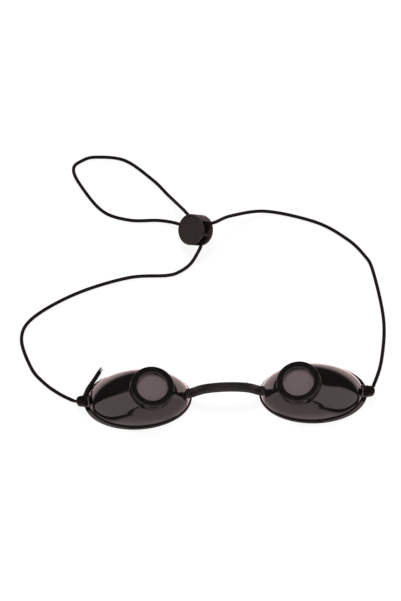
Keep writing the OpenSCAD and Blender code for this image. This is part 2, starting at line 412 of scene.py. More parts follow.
@dataclass(frozen=True)
class Moulded:
    """Moulded plastic: faint flow marks, orange peel, rub marks and dust."""

    name: str
    colour: tuple[float, float, float]
    gloss: float
    peel: float = 0.25
    peel_scale: float = 900.0
    dust: float = 0.05
    reflection: float = 0.5

    def make(self) -> bpy.types.Material:
        """Builds the material."""
        sheet = Sheet(self.name)
        flow = sheet.noise(70, 5)
        specks = sheet.ramp(sheet.noise(5200, 2), 0.68, 0.78, 0, self.dust)
        tint = sheet.mix(flow, tone(self.colour, 0.8), tone(self.colour, 1.3, 0.002))
        sheet.feed("Base Color", sheet.mix(specks, tint, MOULDED_DUST))
        rubs = sheet.noise(60, 6, sheet.place((14, 1, 3)), 0.7)
        patchy = sheet.ramp(rubs, 0.35, 0.75, self.gloss, self.gloss * 1.7 + 0.03)
        sheet.feed("Roughness", sheet.math("ADD", patchy, specks))
        skin = sheet.bump(sheet.noise(self.peel_scale, 2), self.peel, 0.00006)
        fine = sheet.bump(sheet.noise(6500, 3), self.peel * 0.5, 0.00001, skin)
        sheet.feed("Normal", fine)
        sheet.set(Specular_IOR_Level=self.reflection)
        return sheet.material


@dataclass(frozen=True)
class Tinted:
    """A dark polished filter with a body tint, fine wipe marks and a little dust."""

    name: str
    colour: tuple[float, float, float]
    gloss: float = 0.09

    def make(self) -> bpy.types.Material:
        """Builds the material."""
        sheet = Sheet(self.name)
        specks = sheet.ramp(sheet.noise(6000, 2), 0.7, 0.78, 0, 0.1)
        tint = sheet.mix(sheet.noise(120, 3), tone(self.colour, 0.93), tone(self.colour, 1.07))
        sheet.feed("Base Color", sheet.mix(specks, tint, FILTER_DUST))
        wipes = sheet.noise(90, 5, sheet.place((18, 2, 2)), 0.65)
        sheet.feed("Roughness", sheet.ramp(wipes, 0.4, 0.8, self.gloss, self.gloss + 0.1))
        sheet.feed("Normal", sheet.bump(sheet.noise(300, 2), 0.06, 0.00005))
        sheet.set(Specular_IOR_Level=0.5, Coat_Weight=0.3, Coat_Roughness=0.03)
        return sheet.material


@dataclass(frozen=True)
class Braid:
    """The cord's braided cover: yarns along the strands, paler where they wear, and painted shade
    darkening the grooves between the yarns.
    """

    name: str
    colour: tuple[float, float, float]
    worn: tuple[float, float, float]
    yarns: float = 60.0

    def make(self) -> bpy.types.Material:
        """Builds the material: the first texture coordinate goes round the cord, the
        second along it in millimetres."""
        sheet = Sheet(self.name)
        diagonal = {"wave_type": "BANDS", "bands_direction": "DIAGONAL"}
        lay = sheet.node("ShaderNodeTexWave", diagonal, {
            "Vector": sheet.place((self.yarns, 6.0, 1), "UV"), "Scale": 1.0, "Distortion": 1.5,
            "Detail": 2.0}).outputs["Fac"]
        patches = sheet.noise(3.0, 4, sheet.place((6, 1.4, 1), "UV"))
        wear = sheet.ramp(patches, 0.42, 0.7, 0.0, 0.8)
        shade = sheet.mix(wear, (*self.colour, 1), (*self.worn, 1))
        # painted shade: where the lay's bands dip, in the grooves between the yarns, the colour is
        # darkened to 0.45 of itself
        sheet.feed("Base Color", sheet.mix(lay, tone(self.colour, 0.45), shade))
        fibre = sheet.noise(40.0, 3.0, sheet.place((1, 1, 1), "UV"))
        height = sheet.math("ADD", sheet.math("MULTIPLY", fibre, 0.4), lay)
        sheet.feed("Normal", sheet.bump(height, 0.5, 0.00005))
        sheet.feed("Roughness", sheet.ramp(fibre, 0.3, 0.7, 0.62, 0.9))
        sheet.set(Specular_IOR_Level=0.12, Sheen_Weight=0.01, Sheen_Roughness=0.4)
        return sheet.material


@dataclass(frozen=True)
class Wire:
    """Drawn steel wire with fine drawing lines."""

    name: str
    colour: tuple[float, float, float]

    def make(self) -> bpy.types.Material:
        """Builds the material."""
        sheet = Sheet(self.name)
        lines = sheet.noise(2500, 3, sheet.place((1, 1, 6)))
        sheet.feed("Base Color", sheet.mix(lines, tone(self.colour, 0.75), (*self.colour, 1)))
        sheet.feed("Roughness", sheet.ramp(lines, 0.3, 0.7, 0.22, 0.4))
        sheet.feed("Normal", sheet.bump(lines, 0.2, 0.00002))
        sheet.set(Metallic=1.0)
        return sheet.material


# Eye cups


@dataclass(frozen=True)
class Cup:
    """The sizes of an eye cup, in its own frame: x from the nose to the temple."""

    spacing: float = 89.4
    slant: float = 1.2
    rim_a: float = 27.6
    rim_b: float = 16.6
    dome_a: float = 26.2
    dome_b: float = 15.7
    dome_shift: float = 0.7
    dome_height: float = 12.4
    fullness: float = 2.5
    wall: float = 1.4
    flange: float = 1.2
    groove_w: float = 0.3
    groove_d: float = 0.4
    turret: tuple[float, float, float] = (-8.0, 0.6, 14.2)
    lean: float = 8.0
    turret_r: float = 11.1
    draft: float = 0.06
    fillet: float = 0.22
    turret_edge: float = 0.15
    straight: float = 0.4
    support: float = 0.06
    seat_r: float = 10.65
    seat_depth: float = 0.9
    lens_r: float = 9.25
    lens_top: float = 1.9
    lens_depth: float = 3.5
    window_r: float = 7.8
    gap: float = 0.05
    rim_edges: tuple[float, float] = (0.25, 0.35)
    tab_z: float = 2.4
    tab_t: float = 1.8
    tab_r: float = 2.6
    tab_eye: float = 28.7
    tab_y: float = -0.65
    tab_eye_r: float = 1.2
    tab_length: float = 5.4
    tab_flare: float = 0.2
    tab_edges: tuple[float, float] = (0.3, 0.5)
    tab_lip: float = 0.12
    tab_columns: int = 160
    columns: int = 320

    def to_frame(self, p: np.ndarray) -> np.ndarray:
        """Carries points of the right cup's own frame to the goggles' frame."""
        c, s = np.cos(np.radians(self.slant)), np.sin(np.radians(self.slant))
        x, y, z = np.moveaxis(p, -1, 0)
        return np.stack([self.spacing / 2 + c * x + s * y, c * y - s * x, z], -1)

    def from_turret(self, p: np.ndarray) -> np.ndarray:
        """Carries points about the turret's leaning axis to the cup's own frame."""
        c, s = np.cos(np.radians(self.lean)), np.sin(np.radians(self.lean))
        x, y, z = np.moveaxis(p, -1, 0)
        return np.stack([c * x - s * z, y, s * x + c * z], -1) + self.turret

    def at_turret(self, p: np.ndarray) -> np.ndarray:
        """Carries points about the right turret's axis to the goggles' frame."""
        return self.to_frame(self.from_turret(p))

    def dome(self, x: np.ndarray, y: np.ndarray, inset: float = 0.0) -> np.ndarray:
        """Height of the dome: h (1 - q^n)^(1/n), where q is how far out the point is on
        the foot's ellipse and n the fullness."""
        a, b, h = self.dome_a - inset, self.dome_b - inset, self.dome_height - inset
        q = np.hypot((x + self.dome_shift) / a, y / b)
        return h * np.maximum(0, 1 - q ** self.fullness) ** (1 / self.fullness)

    def meet(self, radius: Callable[[np.ndarray], Number], inset: float,
             start: float) -> np.ndarray:
        """Where a ring of the given radius about the turret's axis meets the dome.

        Args:
            radius: the radius as a function of the height along the axis.
            inset: 0 for the outside of the dome, the wall for its inside.
            start: the height along the axis to search down from.

        Returns:
            For each column, the height along the turret's axis.
        """
        t = self.angles()
        high, low = np.full_like(t, start), np.full_like(t, -13.0)
        for _ in range(40):
            middle = (high + low) / 2
            p = self.from_turret(self.ring(radius(middle), middle))
            above = p[:, 2] > self.dome(p[:, 0], p[:, 1], inset)
            high = np.where(above, middle, high)
            low = np.where(above, low, middle)
        return high

    def angles(self) -> np.ndarray:
        """The columns' angles."""
        return np.arange(self.columns) / self.columns * TURN

    def ring(self, radius: Number, height: Number) -> np.ndarray:
        """A ring about the turret's axis: (r cos t, r sin t, z)."""
        t = self.angles()
        return np.stack([radius * np.cos(t), radius * np.sin(t), height + 0 * t], -1)

    def oval(self, a: float, b: float, height: float, shift: float = 0.0) -> np.ndarray:
        """A ring on an ellipse: (a cos t - shift, b sin t, z)."""
        t = self.angles()
        return np.stack([a * np.cos(t) - shift, b * np.sin(t), height + 0 * t], -1)

    def across(self, inner: np.ndarray, inset: float, rows: np.ndarray) -> np.ndarray:
        """Rows of the dome between its foot and a ring near the turret. A point is the mix
        (1 - w) foot + w ring, lifted to the dome, with w = row^n so that the rows are
        evenly spaced up the steep foot.

        Args:
            inner: the ring near the turret.
            inset: 0 for the outside of the dome, the wall for its inside.
            rows: the rows' places, 0 at the foot and 1 at the ring.

        Returns:
            The rows of points, from the foot inwards.
        """
        foot = self.oval(self.dome_a - inset, self.dome_b - inset, 0, self.dome_shift)
        w = (rows ** self.fullness)[:, None, None]
        p = (1 - w) * foot + w * inner
        p[..., 2] = self.dome(p[..., 0], p[..., 1], inset)
        return p

    def shell(self, side: Side) -> Shell:
        """The moulding: one closed surface through the turret's opening, and the tab.

        Args:
            side: the half that it belongs to.

        Returns:
            The cup's surfaces, as the right cup has them.
        """
        def wall_r(height: np.ndarray) -> np.ndarray:
            """The turret's radius, growing downwards by its draft."""
            return self.turret_r + self.draft * np.maximum(0, -self.straight - height)

        def ring_at(height: np.ndarray) -> np.ndarray:
            """A ring on the turret's wall."""
            return self.from_turret(self.ring(wall_r(height), height))

        joint = self.meet(wall_r, 0.0, -0.5)
        foot, corner = joint + self.fillet, ring_at(joint)
        base = self.ring(wall_r(joint), joint)
        spread = self.from_turret(base + self.fillet * self.ring(1.0, 0.0))
        spread[:, 2] = self.dome(spread[:, 0], spread[:, 1])
        wall = np.stack([ring_at(h) for h in (foot + self.support, 0.5 * foot - 0.2,
                                              -0.25 + 0 * joint)])
        t = np.linspace(0, 1, 7)[1:, None, None]
        blend = (1 - t) ** 2 * spread + 2 * t * (1 - t) * corner + t ** 2 * ring_at(foot)
        a, b = self.rim_a, self.rim_b
        under, over = self.rim_edges
        edge = np.vstack([arc((-under, under), under, -90, 0, 4),
                          arc((-over, self.flange - 0.5), over, 0, 80, 6)])
        rim = np.stack([self.oval(a + d, b + d, z) for d, z in edge])
        ease, w = 0.1, self.groove_w
        groove = np.stack([self.oval(self.dome_a + d, self.dome_b + d, self.flange - h,
                                     self.dome_shift)
                           for d, h in ((w + ease, 0), (w, ease), (w, self.groove_d),
                                        (0, self.groove_d))])
        outside = self.across(spread, 0.0, np.append(np.linspace(0.12, 0.985, 56), [0.997, 1]))
        below = np.minimum(self.meet(lambda h: self.window_r, self.wall, -self.lens_depth),
                           -self.lens_depth - 0.04)
        mouth = self.from_turret(self.ring(self.window_r, below))
        inside = self.across(mouth, self.wall, np.linspace(1, 0, 34))[1:]
        rows = np.concatenate([rim, groove, outside, blend, wall, self.seats(), mouth[None],
                               inside])
        made = Shell(f"{side.word}_cup_shell")
        made.grid(self.to_frame(rows), closed=True)
        self.tab(made)
        return made

    def seats(self) -> np.ndarray:
        """The turret's rows over its edge, down the ring's seat and the filter's seat."""
        edge_r = self.turret_r - self.turret_edge
        profile = np.vstack([
            arc((edge_r, -self.turret_edge), self.turret_edge, 0, 90),
            [[edge_r - self.support, 0], [self.seat_r, 0], [self.seat_r, -self.seat_depth],
             [self.lens_r, -self.seat_depth], [self.lens_r, -self.lens_depth],
             [self.window_r, -self.lens_depth]]])
        return np.stack([self.from_turret(self.ring(r, z)) for r, z in profile])

    def tab(self, made: Shell) -> None:
        """Adds the tab: polar rows about its eye. Its outline is the tip's circle, the two
        straight sides that widen towards the dome, and an end inside the dome's wall."""
        t = np.arange(self.tab_columns) / self.tab_columns * TURN
        tiny = 1e-6
        side = self.tab_r / np.maximum(tiny, np.abs(np.sin(t)) + self.tab_flare * np.cos(t))
        reach = np.where(np.cos(t) > 0, self.tab_r,
                         np.minimum(side, self.tab_length / np.maximum(tiny, -np.cos(t))))
        low, high = self.tab_z, self.tab_z + self.tab_t
        eye, lip = self.tab_eye_r, self.tab_lip
        under, over = self.tab_edges
        edge = np.vstack([arc((-under, low + under), under, -90, 0, 5),
                          arc((-over, high - over), over, 0, 90, 7)])
        rows = [(eye + lip + 0 * t, low)] + [(reach + d, z) for d, z in edge]
        rows += [(eye + lip + 0 * t, high), (eye + 0 * t, high - lip), (eye + 0 * t, low + lip)]
        p = np.stack([np.stack([self.tab_eye + r * np.cos(t), self.tab_y + r * np.sin(t),
                                z + 0 * t], -1) for r, z in rows])
        made.grid(self.to_frame(p), closed=True)


@dataclass
class EyeCups:
    """Both moulded cups with their filters and rings."""

    cup: Cup = field(default_factory=Cup)
    crease: float = 24.0
    ring_edge: float = 0.12
    ring_lip: float = 0.3
    lens_bevel: float = 0.2
    plastic: Moulded = Moulded("cup_plastic", BLACK, 0.05, peel=0.12, dust=0.03)
    ring_plastic: Moulded = Moulded("ring_plastic", BLACK, 0.08, peel=0.12, dust=0.03)
    filter_tint: Tinted = Tinted("filter_tint", (0.152, 0.115, 0.121))

    def build(self) -> None:
        kinds = ((self.cup.shell, self.plastic.make(), "eye_cup", "cup_plastic"),
                 (self.ring, self.ring_plastic.make(), "lens_ring", "ring_plastic"),
                 (self.lens, self.filter_tint.make(), "filter_lens", "filter_tint"))
        for side in Side:
            for shape, finish, word, slot in kinds:
                dress(shape(side).build(self.crease, side is Side.LEFT), finish, side.body,
                      f"{side.word}_{word}")

    def ring(self, side: Side) -> Shell:
        """The lens ring: a lathe of its section, with eased edges. The points beside each
        arc keep the faces next to it flat."""
        cup, edge, lip = self.cup, self.ring_edge, self.ring_lip
        outer, hub, mouth = cup.seat_r - cup.gap, cup.lens_r - cup.gap, cup.window_r
        section = np.vstack([
            [[mouth, -cup.lens_top], [hub, -cup.lens_top], [hub, -cup.seat_depth],
             [outer, -cup.seat_depth], [outer, -edge - 0.08]],
            arc((outer - edge, -edge), edge, 0, 90, 4),
            [[outer - edge - 0.08, 0], [mouth + lip + 0.1, 0]],
            arc((mouth + lip, -lip), lip, 90, 180, 6), [[mouth, -lip - 0.1]]])
        made = Shell(f"{side.word}_ring_shell")
        made.lathe(section, cup.at_turret, 192)
        return made

    def lens(self, side: Side) -> Shell:
        """The filter: a flat disc with ground edges, a lathe from pole to pole."""
        cup, bevel = self.cup, self.lens_bevel
        r, low, high = cup.lens_r - cup.gap, -cup.lens_depth, -cup.lens_top
        flat = r - bevel
        made = Shell(f"{side.word}_lens_disc")
        made.lathe([[0, low], [flat / 2, low], [flat, low], [r, low + bevel],
                    [r, high - bevel], [flat, high], [flat / 2, high], [0, high]],
                   cup.at_turret, 160)
        return made


def dress(piece: bpy.types.Object, material: bpy.types.Material, body: str, node: str) -> bpy.types.Object:
    """Gives a piece its finish and its body, and lets it stand for a node.

    Args:
        piece: the piece.
        material: its finish.
        body: the body it rides on.
        node: the node it stands for.

    Returns:
        The piece.
    """
    piece.data.materials.clear()
    piece.data.materials.append(material)
    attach(piece, body)
    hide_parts(node)
    log.info("%s: %d faces, on %s", piece.name, len(piece.data.polygons), body)
    return piece


# Nose bridge


@dataclass
class NoseBridge:
    """The flexible strip. Its middle layer runs from the crown in four tangent stretches:
    a wide arc, a tighter one, a straight leg, and a foot that bends back up."""

    width: float = 4.6
    thickness: float = 2.4
    top: float = 11.4
    y: float = 0.3
    crown: tuple[float, float] = (40.0, 12.0)
    shoulder: tuple[float, float] = (16.0, 38.0)
    leg: float = 2.0
    foot: tuple[float, float] = (5.0, 14.0)
    edge: float = 0.45
    root: float = 1.5
    collar: tuple[float, float] = (4.5, 2.6)
    gate_at: tuple[float, float] = (11.0, 9.8)
    bend: float = 0.016
    plastic: Moulded = Moulded("bridge_plastic", BLACK, 0.3, peel=0.5, peel_scale=1600,
                               reflection=0.3)

    def half(self) -> tuple[np.ndarray, np.ndarray]:
        """The middle layer from the crown to the plug: arcs of circles and a straight.

        Returns:
            The points (x, z) and their downward slopes in radians.
        """
        (r1, a1), (r2, a2), (r3, a3) = self.crown, self.shoulder, self.foot
        a1, a2, a3 = np.radians([a1, a2, a3])
        s = np.linspace(0, a1, 24)
        first = r1 * np.stack([np.sin(s), np.cos(s) - 1], -1)
        t = np.linspace(a1, a2, 24)[1:]
        second = first[-1] + r2 * np.stack([np.sin(t) - np.sin(a1), np.cos(t) - np.cos(a1)], -1)
        third = second[-1:] + self.leg * np.array([[np.cos(a2), -np.sin(a2)]])
        u = np.linspace(a2, a3, 16)[1:]
        fourth = third[-1] + r3 * np.stack([np.sin(a2) - np.sin(u), np.cos(a2) - np.cos(u)], -1)
        last = fourth[-1:] + self.root * np.array([[np.cos(a3), -np.sin(a3)]])
        slopes = np.concatenate([s, t, [a2], u, [a3]])
        return np.vstack([first, second, third, fourth, last]), slopes

    def outline(self) -> np.ndarray:
        """The strip's section: a rectangle with round corners, (across, up)."""
        w, h, r = self.width / 2, self.thickness / 2, self.edge
        return np.vstack([arc((w - r, h - r), r, 0, 90), arc((r - w, h - r), r, 90, 180),
                          arc((r - w, r - h), r, 180, 270), arc((w - r, r - h), r, 270, 360)])

    def shell(self) -> Shell:
        """The strip, its section carried along the middle layer, with a plug at each end."""
        layer, slope = self.half()
        x = np.concatenate([-layer[:0:-1, 0], layer[:, 0]])
        z = np.concatenate([layer[:0:-1, 1], layer[:, 1]])
        a = np.concatenate([-slope[:0:-1], slope])
        across, up = self.outline().T
        rows = np.stack([x[:, None] + np.outer(np.sin(a), up), self.y + across + 0 * x[:, None],
                         self.top + z[:, None] + np.outer(np.cos(a), up)], -1)
        made = Shell("nose_bridge_strip")
        numbers = made.grid(rows)
        made.cap(numbers[0], rows[0].mean(0))
        made.cap(numbers[-1], rows[-1].mean(0))
        for sign in (-1, 1):
            self.plug(made, sign, layer[-2], slope[-1])
        self.gate(made)
        return made

    def plug(self, made: Shell, sign: int, end: np.ndarray, slope: float) -> None:
        """Adds an end's collar, neck and snap head: an oval lathe along the strip."""
        profile = np.vstack([[[0, -0.8]], arc((0.8, -0.55), 0.25, -90, 0, 4),
                             arc((0.85, 1.3), 0.2, 0, 90, 4), [[0.65, 1.5]], [[0.65, 4.2]],
                             [[0.85, 4.2]], [[0.5, 5.6]], [[0, 5.6]]])
        half_w, half_t = self.collar[0] / 2, self.collar[1] / 2
        widest = 1.05

        def place(p: np.ndarray) -> np.ndarray:
            """Turns the lathe's axis along the strip's end and makes it oval."""
            across, up = p[..., 0] * half_w / widest, p[..., 1] * half_t / widest
            along = p[..., 2]
            x = end[0] + along * np.cos(slope) + up * np.sin(slope)
            z = self.top + end[1] - along * np.sin(slope) + up * np.cos(slope)
            return np.stack([sign * x, self.y + across, z], -1)

        made.lathe(profile, place, 64)

    def gate(self, made: Shell) -> None:
        """Adds the trace of the mould's gate on the back edge."""
        profile = np.vstack([[[0, -0.3]], [[0.35, -0.3]], arc((0.25, 0.4), 0.1, 0, 90, 3),
                             [[0, 0.5]]])

        def place(p: np.ndarray) -> np.ndarray:
            """Turns the lathe's axis square to the strip's back edge."""
            return np.stack([self.gate_at[0] + p[..., 0], self.y + self.width / 2 + p[..., 2],
                             self.gate_at[1] + p[..., 1]], -1)

        made.lathe(profile, place, 24)

    def build(self) -> None:
        """Makes the strip, gives it its finish and hides the imported node."""
        piece = self.shell().build(40)
        piece.data.materials.append(self.plastic.make())
        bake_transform(piece)
        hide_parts("nose_bridge")
        log.info("%s: %d faces, blended", piece.name, len(piece.data.polygons))


# Cord


@dataclass
class Cord:
    """The elastic cord, its two ends through the tabs' eyes, its knots and its tail."""

    cup: Cup = field(default_factory=Cup)
    diameter: float = 1.8
    squeezed: float = 1.25
    squeeze_reach: tuple[float, float] = (6.5, 9.0)
    knot_d: float = 1.6
    stem_d: float = 1.5
    tail_d: float = 2.2
    trefoil: tuple[float, float, float, float] = (1.6, 0.76, 0.9, 0.8)
    strands: int = 6
    pitch: float = 2.6
    relief: float = 0.07
    weave: float = 0.45
    crest: float = 0.7
    frayed: int = 30
    yarn_r: tuple[float, float] = (0.2, 0.1)
    braid: Braid = Braid("cord_braid", (0.005, 0.0032, 0.003), (0.014, 0.0085, 0.008))
    route: tuple = (
        (-77.5, 0.3, 1.1), (-84.6, 4.4, 1), (-92.3, 10.7, 0.9), (-99.3, 19.8, 0.9),
        (-104.5, 37, 0.9), (-98, 49.2, 0.9), (-75.7, 62.2, 0.9), (-48.6, 70.4, 0.9),
        (-28.3, 71, 0.9), (-21.5, 73, 0.9), (-16, 76.9, 1.2), (-12.3, 81.5, 3.2),
        (-9.6, 86.3, 6.6), (-12.6, 91.4, 6.1), (-17.1, 97, 4.9), (-22, 101.2, 2.8),
        (-32, 104.6, 0.9), (-48, 105.5, 0.9), (-62.4, 112, 0.9), (-74.6, 129.8, 0.9),
        (-77.5, 139.2, 0.9), (-73.1, 143.7, 0.9), (-65.5, 145.8, 0.9), (-49.6, 143, 0.9),
        (-34.8, 130.2, 0.9), (-26.4, 119.2, 2.4), (-18.3, 107, 7), (-14.3, 100.7, 8.9),
        (-9.9, 96.9, 11), (-5.4, 94.3, 13.8), (-1.7, 95.4, 13), (7.2, 102, 7.8),
        (26.2, 107.4, 1.7), (52.1, 100.1, 0.9), (67.7, 89.4, 0.9), (76.2, 79.3, 0.9),
        (80.3, 69.3, 0.9), (83.7, 40.2, 0.9), (80.7, 16.7, 1.1), (75.6, 2.7, 1.1))
    tail: tuple = ((-71.5, 0.1, 5.8), (-70.6, 2.9, 5.1), (-69.8, 5.5, 3.9), (-67.6, 9.6, 2.6),
                   (-65.6, 13, 2.2), (-63.7, 16.3, 2.1))

    def tube(self, made: Shell, line: np.ndarray, thick: Number,
             up: tuple = (0, 0, 1), closed: bool = False, columns: int = 28) -> None:
        """Adds a braided tube. Two sets of strands run round it in opposite screws. At an
        angle t and a run s they crest where n t + k s and n t - k s are whole turns, and a
        strand rises and dips by cos(n t), so that the two sets pass over and under.

        Args:
            made: the shell that gets the tube.
            line: its middle line, in even steps.
            thick: its mean diameter, one or a column with one for each point.
            up: a direction that the line never follows.
            closed: whether it joins its own start.
            columns: points round it.
        """
        t = (np.arange(columns) + 0.5) / columns * TURN
        length = run_of(line)
        s = np.linspace(0, length, len(line))[:, None]
        if closed:
            turns = max(1, round(length / self.pitch))
            s = np.arange(len(line))[:, None] / len(line) * turns * self.pitch
        turn, along = self.strands * t[None], TURN * s / self.pitch * self.strands / 2
        weave = self.weave * np.cos(turn)
        one = np.abs(np.cos((turn + along) / 2)) ** self.crest + weave
        two = np.abs(np.cos((turn - along) / 2)) ** self.crest - weave
        radius = thick / 2 + self.relief * (np.maximum(one, two) - 1.0)
        made.sweep(line, up, radius[..., None], columns, closed=closed, length=length)

    def build(self) -> None:
        material = self.braid.make()
        line = even(smooth(self.route, 1.0), 0.25)
        run = Shell("elastic_cord_run")
        away = np.linalg.norm(line - np.array(LockBarrel().centre), axis=1)
        thick = np.interp(away, self.squeeze_reach, (self.squeezed, self.diameter))
        self.tube(run, line, thick[:, None], columns=32)
        piece = run.build(SOFT_CREASE)
        piece.data.materials.append(material)
        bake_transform(piece)
        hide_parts("elastic_cord")
        pieces = [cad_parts["lock_button"], bpy.data.objects["lock_spring_coil"]]
        for side in Side:
            for shape, word in ((self.knot, "knot"), (self.end, "end")):
                made = shape(side).build(SOFT_CREASE, side is Side.LEFT)
                pieces.append(dress(made, material, side.body, f"{side.word}_cord_{word}"))
        tail = self.tail_shell().build(SOFT_CREASE)
        dress(tail, material, "left_cup", "cord_tail")
        pieces += [tail, LockBarrel().build()]
        log.info("cord of %.1f mm and tail of %.1f mm", run_of(line),
                 run_of(smooth(self.tail, 1.0)))

    @property
    def knot_z(self) -> float:
        """Height of the knots' middle plane, on top of the tabs."""
        return self.cup.tab_z + self.cup.tab_t + self.trefoil[3] + 0.75

    def at_eye(self, p: np.ndarray) -> np.ndarray:
        """Carries points about the right tab's eye to the goggles' frame."""
        return self.cup.to_frame(p + np.array([self.cup.tab_eye, self.cup.tab_y, 0]))

    def knot(self, side: Side) -> Shell:
        """The overhand knot: a braided tube along a trefoil, x = q cos 2t, y = k q sin 2t,
        z = h sin 3t with q = r + s cos 3t."""
        t = np.linspace(0, TURN, 400, endpoint=False)
        ring, swing, squeeze, h = self.trefoil
        q = ring + swing * np.cos(3 * t)
        line = np.stack([q * np.cos(2 * t) - 0.8, squeeze * q * np.sin(2 * t) - 0.4,
                         self.knot_z + h * np.sin(3 * t)], -1)
        made = Shell(f"{side.word}_knot_loop")
        self.tube(made, self.at_eye(even(line, 0.2, True)), self.knot_d, closed=True)
        return made

    def end(self, side: Side) -> Shell:
        """The cord's way down through the eye and, in an arc, out under the tab."""
        way = np.radians(22.5 if side is Side.LEFT else 62.5)
        flat = np.vstack([[[-0.5, self.knot_z + 0.8], [-0.25, self.knot_z - 1.2]],
                          np.array([1.6, 2.9]) - 1.6 * arc((0, 0), 1.0, 5, 90, 10),
                          [[4.2, 1.2]]])
        line = np.stack([flat[:, 0] * np.cos(way), flat[:, 0] * np.sin(way), flat[:, 1]], -1)
        made = Shell(f"{side.word}_cord_stem")
        across = np.array([-np.sin(way), np.cos(way), 0.0])
        turn = np.radians(self.cup.slant)
        up = (np.cos(turn) * across[0] + np.sin(turn) * across[1],
              np.cos(turn) * across[1] - np.sin(turn) * across[0], 0.0)
        self.tube(made, self.at_eye(even(line, 0.2)), self.stem_d, up)
        return made

    def tail_shell(self) -> Shell:
        """The free end, with its strands and rubber core frayed out at the cut."""
        line = even(smooth(self.tail, 0.5), 0.2)
        made = Shell("cord_tail_free_end")
        self.tube(made, line[:-4], self.tail_d)
        rng = np.random.default_rng(7)
        start, way = line[-8], line[-4] - line[-12]
        way = way / np.linalg.norm(way)
        angle = rng.uniform(0, TURN, self.frayed)
        spread = rng.uniform(0.1, 1.1, self.frayed)
        reach = rng.uniform(1.5, 3.2, self.frayed)
        side = np.cross([0, 0, 1.0], way)
        lift = np.cross(way, side)
        s = np.linspace(0, 1, 9)
        taper = np.linspace(*self.yarn_r, len(s))[:, None, None]
        for a, w, r in zip(angle, spread, reach):
            out = np.cos(a) * side + np.sin(a) * lift
            path = (start + np.outer(0.55 * s ** 0.2, out) + np.outer(r * s, way)
                    + np.outer(0.6 * w * s ** 2, out))
            path[:, 2] = np.maximum(path[:, 2], 0.15)
            made.sweep(path, (0.1, 0.2, 1.0), taper, 6, first=0)
        return made


# Cord lock


@dataclass
class LockBarrel:
    """The lock's barrel: a lathe with a recessed face, and two windows cut through it."""

    radius: float = 8.2
    length: float = 9.6
    bore: float = 6.25
    bore_top: float = 3.4
    window: tuple[float, float, float, float] = (0.5, 6.6, -2.45, 3.4)
    centre: tuple[float, float, float] = (-12.3, 93.34, 9.05)
    turns: tuple[float, float, float] = (118.0, 45.0, -153.0)
    cut: float = 9.0
    eased: float = 0.12
    crease: float = 30.0
    plastic: Moulded = Moulded("lock_plastic", (0.028, 0.0222, 0.0205), 0.45, peel=0.6,
                               peel_scale=1500, dust=0.06, reflection=0.04)

    def place(self) -> Matrix:
        """The lock's own frame in the goggles' frame, in metres."""
        first, lean, last = np.radians(self.turns)
        where = Matrix.Translation([v * MM for v in self.centre])
        return (where @ Matrix.Rotation(last, 4, "Z") @ Matrix.Rotation(lean, 4, "Y")
                @ Matrix.Rotation(first, 4, "Z"))

    def shell(self) -> Shell:
        """The barrel before its windows: a lathe of its wall and its closed end."""
        h, r = self.length / 2, self.radius
        profile = np.vstack([
            [[0, self.bore_top]], [[self.bore, self.bore_top]],
            arc((self.bore + 0.2, 0.2 - h), 0.2, 180, 270, 3),
            arc((r - 0.4, 0.4 - h), 0.4, -90, 0, 5), arc((r - 0.4, h - 0.4), 0.4, 0, 90, 5),
            arc((r - 0.75, h - 0.1), 0.1, 90, 180, 3),
            arc((r - 1.05, h - 0.1), 0.2, 0, -90, 3), [[0, h - 0.3]]])
        made = Shell("lock_barrel_shell")
        made.lathe(profile, lambda p: p, 160)
        return made

    def build(self) -> bpy.types.Object:
        """Makes the barrel, cuts its windows and puts it in place.

        Returns:
            The piece.
        """
        piece = self.shell().build(self.crease)
        cutters = [self.block(sign) for sign in (-1, 1)]
        for cutter in cutters:
            cut = piece.modifiers.new("window", "BOOLEAN")
            cut.operation, cut.solver, cut.object = "DIFFERENCE", "EXACT", cutter
        ease = piece.modifiers.new("ease", "BEVEL")
        ease.width, ease.segments, ease.limit_method = self.eased * MM, 2, "ANGLE"
        ease.angle_limit = np.radians(50)
        bpy.context.view_layer.update()
        graph = bpy.context.evaluated_depsgraph_get()
        mesh = bpy.data.meshes.new_from_object(piece.evaluated_get(graph))
        piece.modifiers.clear()
        piece.data = mesh
        for cutter in cutters:
            bpy.data.objects.remove(cutter)
        mesh.transform(self.place())
        mesh.set_sharp_from_angle(angle=np.radians(self.crease))
        return dress(piece, self.plastic.make(), "left_cup", "lock_barrel")

    def block(self, sign: int) -> bpy.types.Object:
        """A box a little longer than the barrel is wide, for the window on one side."""
        near, far, low, high = self.window
        x = self.cut * np.array([-1, 1, 1, -1, -1, 1, 1, -1])
        y = sign * np.array([near, near, far, far, near, near, far, far])
        z = np.array([low, low, low, low, high, high, high, high])
        mesh = bpy.data.meshes.new("window")
        mesh.from_pydata((np.stack([x, y, z], -1) * MM).tolist(), [],
                         [(0, 3, 2, 1), (4, 5, 6, 7), (0, 1, 5, 4), (1, 2, 6, 5), (2, 3, 7, 6),
                          (3, 0, 4, 7)])
        if sign < 0:
            mesh.flip_normals()
        return link("window", mesh)


# Studio


